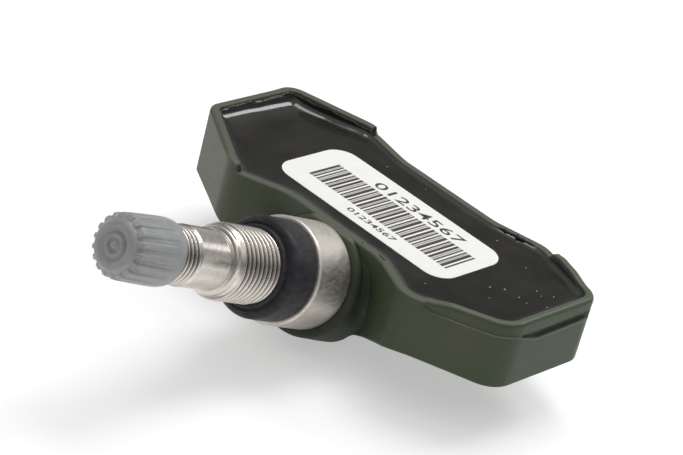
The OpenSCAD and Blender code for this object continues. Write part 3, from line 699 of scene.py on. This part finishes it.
def fine_bars():
    """Thin bars in the wider gaps between the bold ones of the model, as flat plates. The
    gaps follow the same repeating list of steps, which is plain decoration and encodes nothing."""
    widths = np.resize([0.45, 0.28, 0.28, 0.55, 0.28, 0.45], 40)
    gaps = np.resize([0.4, 0.32, 0.55, 0.36], 40)
    field_start, field_end, bar_front, bar_back = -12.7, 14.3, -3.5, 2.6
    starts = field_start + np.concatenate([[0], np.cumsum(widths + gaps)[:-1]]) + widths
    wide = (starts + gaps < field_end) & (gaps > 0.38)
    mid, half = (starts + gaps / 2)[wide], gaps[wide] * 0.26
    x = np.stack([mid - half, mid + half, mid + half, mid - half], axis=1)
    y = np.broadcast_to([bar_front, bar_front, bar_back, bar_back], x.shape)
    points = np.stack([x, y, np.full(x.shape, ink_top)], axis=-1).reshape(-1, 3)
    return points, np.arange(len(points)).reshape(-1, 4)


def digits(name, words, size, wide, at):
    """Digits as flat outlines turned to a mesh, laid on the label with their foot to the front."""
    curve = bpy.data.curves.new(name, "FONT")
    curve.body, curve.size, curve.resolution_u, curve.offset = words, size, 3, 0.02
    made = bpy.data.objects.new(name, curve)
    scene.collection.objects.link(made)
    bpy.context.view_layer.update()
    mesh = bpy.data.meshes.new_from_object(made)
    bpy.data.objects.remove(made)
    flat = np.empty(len(mesh.vertices) * 3)
    mesh.vertices.foreach_get("co", flat)
    flat = flat.reshape(-1, 3) * (wide, 1, 0) + (at[0], at[1], ink_top)
    mesh.vertices.foreach_set("co", millimetres(to_label(flat)).ravel())
    mesh.name = name
    mesh.update()
    return mesh


dark_ink = mottled_material(
    "dark_ink", (0.030, 0.022, 0.024), (0.060, 0.045, 0.050), cloud=900.0, grain=5000.0,
    height=0.05, gloss=(0.5, 0.6))[0]
dress(["label_print"], dark_ink)
thin_ink = mottled_material(
    "thin_ink", (0.33, 0.27, 0.29), (0.45, 0.38, 0.405), cloud=1200.0, grain=5000.0,
    height=0.05, gloss=(0.5, 0.6))[0]
points, faces = fine_bars()
add_piece("label_fine_bars", fill_mesh("label_fine_bars", to_label(points), faces, False),
          thin_ink, "sensor")
add_piece("label_digits", digits("label_digits", counting, 2.6, 1.65, (-6.6, 3.3)), dark_ink,
          "sensor")
add_piece("label_small_digits", digits("label_small_digits", counting, 1.45, 1.6, (-3.2, -5.5)),
          dark_ink, "sensor")


# Valve stem
# Turned from one bar and plated: the collar that the boss grips, the seat under the grommet,
# the nut thread with a plain ring before it, a smooth neck and the cap thread at the mouth.
def turned_surface(profile, count):
    """A surface of revolution about the stem. Each profile row is a radius and a place on the
    axis; a radius may be an array with one value for each of the count angles."""
    angle = np.linspace(0, 2 * math.pi, count, endpoint=False)
    r = np.array([np.broadcast_to(row[0], count) for row in profile])
    w = np.array([np.broadcast_to(row[1], count) for row in profile])
    return on_stem(r * np.cos(angle), r * np.sin(angle), w).reshape(-1, 3)


def thread_radius(w, angle, crest, depth, pitch, start, end, run_out):
    """Radius of a right-hand thread. The share of a turn since the last crest is w over the
    pitch less the angle; the groove is a V with a flat crest and a rounded root, and fades at
    both ends over the run-out."""
    share = (w / pitch - angle / (2 * math.pi)) % 1
    from_crest = 2 * np.minimum(share, 1 - share)
    cut = ease(from_crest, 0.1, 0.95) * 0.5 + np.clip((from_crest - 0.14) / 0.76, 0, 1) * 0.5
    fade = ease(w, start, start + run_out) * ease(end - w, 0, run_out)
    return crest - depth * cut * fade


nut_crest, nut_depth, nut_pitch = 5.15, 0.52, 0.907
mouth_crest, mouth_depth, mouth_pitch = 3.875, 0.44, 0.794


def stem_profile(count):
    """Rows round the whole section: out along the flange and collar, over both threads to the
    mouth, and back through the bore."""
    angle = np.linspace(0, 2 * math.pi, count, endpoint=False)
    rows = [(1.5, -22.0), (3.5, -22.0), (3.6, -21.9), (3.6, -19.4), (4.3, -19.4), (4.3, -16.9),
            (3.6, -16.9), (3.6, -12.75), (7.3, -12.75), (7.5, -12.6), (7.5, -12.45), (7.5, -9.0),
            (7.5, -6.1), (7.5, -5.95), (7.47, -5.87), (7.34, -5.74), (7.26, -5.7), (7.2, -5.69),
            (7.0, -5.68), (4.62, -5.67), (4.6, -5.6), (4.6, -0.1)]
    # Sixteen rows to a turn of the nut thread, and fourteen to one of the cap thread
    for w in np.arange(0.0, 7.46, nut_pitch / 16):
        rows.append(
            (thread_radius(w, angle, nut_crest, nut_depth, nut_pitch, -0.4, 8.0, 0.25), w))
    rows += [(4.9, 7.72), (4.66, 7.93), (4.65, 8.0), (4.65, 8.1), (4.65, 8.4), (4.62, 8.5),
             (4.5, 8.63), (4.42, 8.66), (4.1, 8.67), (4.05, 8.7), (4.04, 8.76), (4.04, 8.85),
             (4.04, 12), (4.04, 14.9), (4.04, 15.0)]
    for w in np.arange(15.1, 25.5, mouth_pitch / 14):
        rows.append(
            (thread_radius(w, angle, mouth_crest, mouth_depth, mouth_pitch, 15.1, 26.2, 0.5), w))
    rows += [(3.7, 25.6), (3.35, 25.93), (3.2, 26.0), (2.72, 26.0), (2.64, 25.95), (2.62, 25.8),
             (2.62, 19.6), (1.9, 18.2), (1.9, 7.0), (1.5, 7.0), (1.5, -21.9), (1.5, -22.0)]
    return rows


turn_to_stem = (stem_tilt - math.pi / 2, 0, 0)
stem_metal, tree, shader, surface = mottled_material(
    "plated_metal", (0.60, 0.565, 0.508), (0.72, 0.68, 0.622), cloud=420.0, grain=1100.0,
    height=0.04, gloss=(0.34, 0.44), metal=1.0, stretch=(1, 1, 2.5), turn=turn_to_stem)
turns = 128
profile = stem_profile(turns)
stem_mesh = fill_mesh(
    "turned_stem", turned_surface(profile, turns), grid_faces(len(profile), turns, True))
stem = add_piece("turned_stem", stem_mesh, stem_metal, "sensor")
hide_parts("valve_stem")
# Painted shade in the thread roots: a point's attribute is its depth under the
# crest of its thread, and there the metal is darkened as painted shade
place = np.array([np.broadcast_to(row[1], turns) for row in profile])
radius = np.array([np.broadcast_to(row[0], turns) for row in profile])
depth = np.where(
    place < 7.5, (nut_crest - radius) / nut_depth, (mouth_crest - radius) / mouth_depth)
in_thread = ((place > 0.05) & (place < 7.5)) | ((place > 15.2) & (place < 25.5))
bore_rows = 9
outside = np.arange(len(profile))[:, None] < len(profile) - bore_rows
# Painted shade on the underside of the collar darkens it as well
below = -np.sin(np.linspace(0, 2 * math.pi, turns, endpoint=False))
underside_shade = 0.4 * ease(-place, 5.6, 6.4) * ease(below, 0.0, 0.55)
painted_shade_depth = np.maximum(np.clip(depth, 0, 1) * in_thread, underside_shade) * outside
groove = stem_mesh.attributes.new("groove", "FLOAT", "POINT")
groove.data.foreach_set("value", painted_shade_depth.ravel().astype(np.float32))
painted_shade_attribute = add_node(tree, "ShaderNodeAttribute")
painted_shade_attribute.attribute_name = "groove"
# The collar is left as turned, the rest is burnished: the attribute scales the roughness
burnish = stem_mesh.attributes.new("burnish", "FLOAT", "POINT")
burnish.data.foreach_set("value", (1.25 - 0.6 * ease(place, -5, -1)).ravel().astype(np.float32))
finish = add_node(tree, "ShaderNodeAttribute")
finish.attribute_name = "burnish"
scaled = tree.nodes.new("ShaderNodeMath")
scaled.operation = "MULTIPLY"
tree.links.new(surface.outputs["Roughness"], scaled.inputs[0])
tree.links.new(finish.outputs["Fac"], scaled.inputs[1])
tree.links.new(scaled.outputs["Value"], shader.inputs["Roughness"])
patchy = add_node(tree, "ShaderNodeMapRange", From_Min=0.12, From_Max=0.75, To_Max=1.0)
# Painted shade: the thread roots and the collar's underside are mixed towards dark brown
darkened = tree.nodes.new("ShaderNodeMix")
darkened.data_type = "RGBA"
darkened.inputs[7].default_value = (0.07, 0.058, 0.046, 1)
tree.links.new(painted_shade_attribute.outputs["Fac"], patchy.inputs["Value"])
tree.links.new(patchy.outputs["Result"], darkened.inputs["Factor"])
tree.links.new(surface.outputs["Colour"], darkened.inputs[6])
tree.links.new(darkened.outputs[2], shader.inputs["Base Color"])


# Grommet
# A moulded rubber ring pushed over the stem against the collar. A lip on its face centres the
# stem in the rim's hole, and the face round the lip has faint ridges from the mould.
def grommet_profile():
    """Rows from the back face, over the slightly barrelled side and the rounded edge, across the
    ridged face to the lip and back along the stem. The ridges are a low cosine."""
    rows = [(4.62, -5.65), (6.8, -5.65), (6.93, -5.6), (6.98, -5.5)]
    for t in np.linspace(0.05, 1, 10):
        rows.append((6.96 + 0.04 * math.sin(math.pi * t), -5.5 + 3.85 * t))
    for a in np.radians(np.linspace(8, 90, 9)):
        rows.append((6.15 + 0.82 * math.cos(a), -1.65 + 0.82 * math.sin(a)))
    for t in np.linspace(0.1, 1, 14):
        rows.append((6.15 - 0.45 * t, -0.83 - 0.05 * math.cos(t * 6 * math.pi)))
    rows += [(5.66, -0.78), (5.65, -0.7), (5.65, -0.3), (5.6, -0.1), (5.45, -0.02), (5.2, 0.0),
             (4.8, 0.0), (4.66, -0.05), (4.62, -0.2), (4.62, -5.6), (4.62, -5.65)]
    return rows


black_rubber, _, shader, _ = mottled_material(
    "black_rubber", (0.014, 0.014, 0.017), (0.037, 0.037, 0.042), cloud=420.0, grain=1100.0,
    height=0.3, gloss=(0.42, 0.62), stretch=(1, 1, 3), turn=turn_to_stem)
shader.inputs["Specular IOR Level"].default_value = 0.25
profile = grommet_profile()
grommet = add_piece(
    "rubber_grommet", fill_mesh("rubber_grommet", turned_surface(profile, 160),
                                grid_faces(len(profile), 160, True)),
    black_rubber, "sensor")
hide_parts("sealing_grommet")


# Valve cap
# Moulded in slightly translucent grey plastic. Ribs run along it for the fingers and end in
# lugs round the front shoulder; its face has shallow rings and a pip from the gate.
def cap_profile(count):
    """Rows over the outside from the open end to the pip, then back through the bore. Between
    ribs the radius falls by a groove depth times a rounded square wave of the angle."""
    angle = np.linspace(0, 2 * math.pi, count, endpoint=False)
    ribs = 18
    wave = np.cos(ribs * angle)
    groove = ease(wave, -0.35, 0.25)
    lug = ease(wave, -0.2, 0.1)
    fine = 0.018 * np.cos(4 * ribs * angle)
    swirl = 0.08 * np.cos(angle - 0.6)
    rows = [(3.99, 18.52), (4.12, 18.5), (4.25, 18.53), (4.34, 18.66), (4.39, 18.9), (4.42, 19.3)]
    for w in np.linspace(19.5, 26.2, 34):
        along = 4.5 - 0.2 * (w - 20.4) / 6.3
        depth = (0.13 + 0.11 * ease(w, 22.5, 26)) * ease(w, 19.6, 21.4)
        rows.append((np.minimum(along, 4.5) - 0.03 - depth * groove + fine * ease(w, 20, 21.5), w))
    for t in np.linspace(0.05, 1, 14):
        w = 26.2 + 1.1 * t
        r = 4.28 - 0.1 * t - 0.35 * ease(np.array(t), 0.6, 1.0)
        notch = 0.2 + 0.16 * ease(np.array(t), 0.45, 0.6)
        rows.append((r - notch * lug * ease(np.array(t), 0.0, 0.15), w))
    rows += [(3.62 - 0.12 * lug, 27.34), (3.45, 27.42), (3.3, 27.62), (3.14, 27.8), (2.95, 27.88),
             (2.7, 27.92), (2.5, 27.93), (2.3, 27.92), (2.22, 27.82),
             (2.08, 27.67 - swirl), (1.8, 27.56 - swirl), (1.58, 27.62 - swirl), (1.47, 27.78),
             (1.3, 27.84), (1.15, 27.78), (1.05, 27.62 + swirl), (0.8, 27.5 + swirl),
             (0.6, 27.6 + swirl), (0.47, 27.8), (0.36, 27.96), (0.2, 28.03), (0.0, 28.04)]
    inner = [(0.0, 26.76), (3.6, 26.76), (3.9, 26.74), (3.97, 26.66), (3.97, 24), (3.97, 21),
             (3.97, 18.7), (3.99, 18.52)]
    return rows + inner


grey_plastic, _, shader, _ = mottled_material(
    "grey_plastic", (0.255, 0.26, 0.262), (0.325, 0.328, 0.33), cloud=350.0, grain=1500.0,
    height=0.1, gloss=(0.3, 0.42), stretch=(1, 1, 0.35), turn=turn_to_stem)
shader.inputs["Subsurface Weight"].default_value = 0.12
shader.inputs["Subsurface Radius"].default_value = (0.0012, 0.0012, 0.0012)
shader.inputs["Subsurface Scale"].default_value = 1.0
turns = 288
profile = cap_profile(turns)
cap = add_piece(
    "ribbed_cap", fill_mesh("ribbed_cap", turned_surface(profile, turns),
                            grid_faces(len(profile), turns, True)),
    grey_plastic, "cap")
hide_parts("valve_cap")


# Valve core and cap washer
# The core is screwed into the stem's mouth: a brass body with a key slot, the pin that the
# pump pushes in, a fine steel spring, and soft seals. The cap holds its own rubber washer.
core_brass = mottled_material(
    "core_brass", (0.60, 0.43, 0.18), (0.66, 0.50, 0.25), cloud=500.0, grain=3000.0,
    height=0.06, gloss=(0.22, 0.34), metal=1.0, stretch=(1, 1, 6), turn=turn_to_stem)[0]
dress(["core_body", "core_pin"], core_brass)
spring_steel = mottled_material(
    "spring_steel", (0.55, 0.55, 0.56), (0.62, 0.62, 0.62), cloud=900.0, grain=4000.0,
    height=0.05, gloss=(0.2, 0.3), metal=1.0)[0]
dress(["core_spring"], spring_steel)
red_seal = mottled_material(
    "red_seal", (0.42, 0.06, 0.04), (0.50, 0.09, 0.06), cloud=700.0, grain=3000.0,
    height=0.1, gloss=(0.45, 0.6))[0]
dress(["core_gasket", "port_gasket"], red_seal)
dress(["core_cup", "cap_seal"], black_rubber)


# Electronics in the compound
# A green board carries the chips, crystal, coil, antenna and motion switch on and under it, and
# the coin cell hangs below on two welded tabs. The compound holds and hides all of it.
board_green = mottled_material(
    "board_green", (0.015, 0.12, 0.04), (0.02, 0.15, 0.055), cloud=300.0, grain=2500.0,
    height=0.08, gloss=(0.28, 0.4))[0]
dress(["circuit_board"], board_green)
cell_steel = mottled_material(
    "cell_steel", (0.58, 0.58, 0.57), (0.64, 0.64, 0.63), cloud=150.0, grain=1500.0,
    height=0.05, gloss=(0.22, 0.34), metal=1.0, stretch=(1, 8, 1))[0]
dress(["coin_cell", "cell_tab_top", "cell_tab_bottom", "crystal_can", "motion_switch"], cell_steel)
chip_black = mottled_material(
    "chip_black", (0.012, 0.012, 0.013), (0.02, 0.02, 0.022), cloud=800.0, grain=6000.0,
    height=0.2, gloss=(0.5, 0.65))[0]
dress(["pressure_sensor", "controller_chip", "transmitter_chip"], chip_black)
ferrite = mottled_material(
    "ferrite", (0.035, 0.035, 0.04), (0.055, 0.055, 0.06), cloud=700.0, grain=5000.0,
    height=0.25, gloss=(0.5, 0.65))[0]
dress(["coil_core"], ferrite)
enamelled_wire = mottled_material(
    "enamelled_wire", (0.45, 0.17, 0.05), (0.55, 0.24, 0.09), cloud=600.0, grain=2600.0,
    height=0.5, gloss=(0.2, 0.3), metal=0.9, stretch=(6, 1, 1))[0]
dress(["coil_winding"], enamelled_wire)
antenna_brass = mottled_material(
    "antenna_brass", (0.58, 0.46, 0.22), (0.66, 0.55, 0.32), cloud=300.0, grain=2600.0,
    height=0.06, gloss=(0.24, 0.36), metal=1.0, stretch=(1, 5, 1))[0]
dress(["antenna_strip"], antenna_brass)
ceramic_tan = mottled_material(
    "ceramic_tan", (0.24, 0.18, 0.10), (0.32, 0.25, 0.16), cloud=900.0, grain=5000.0,
    height=0.12, gloss=(0.4, 0.55))[0]
dress(["chip_components"], ceramic_tan)
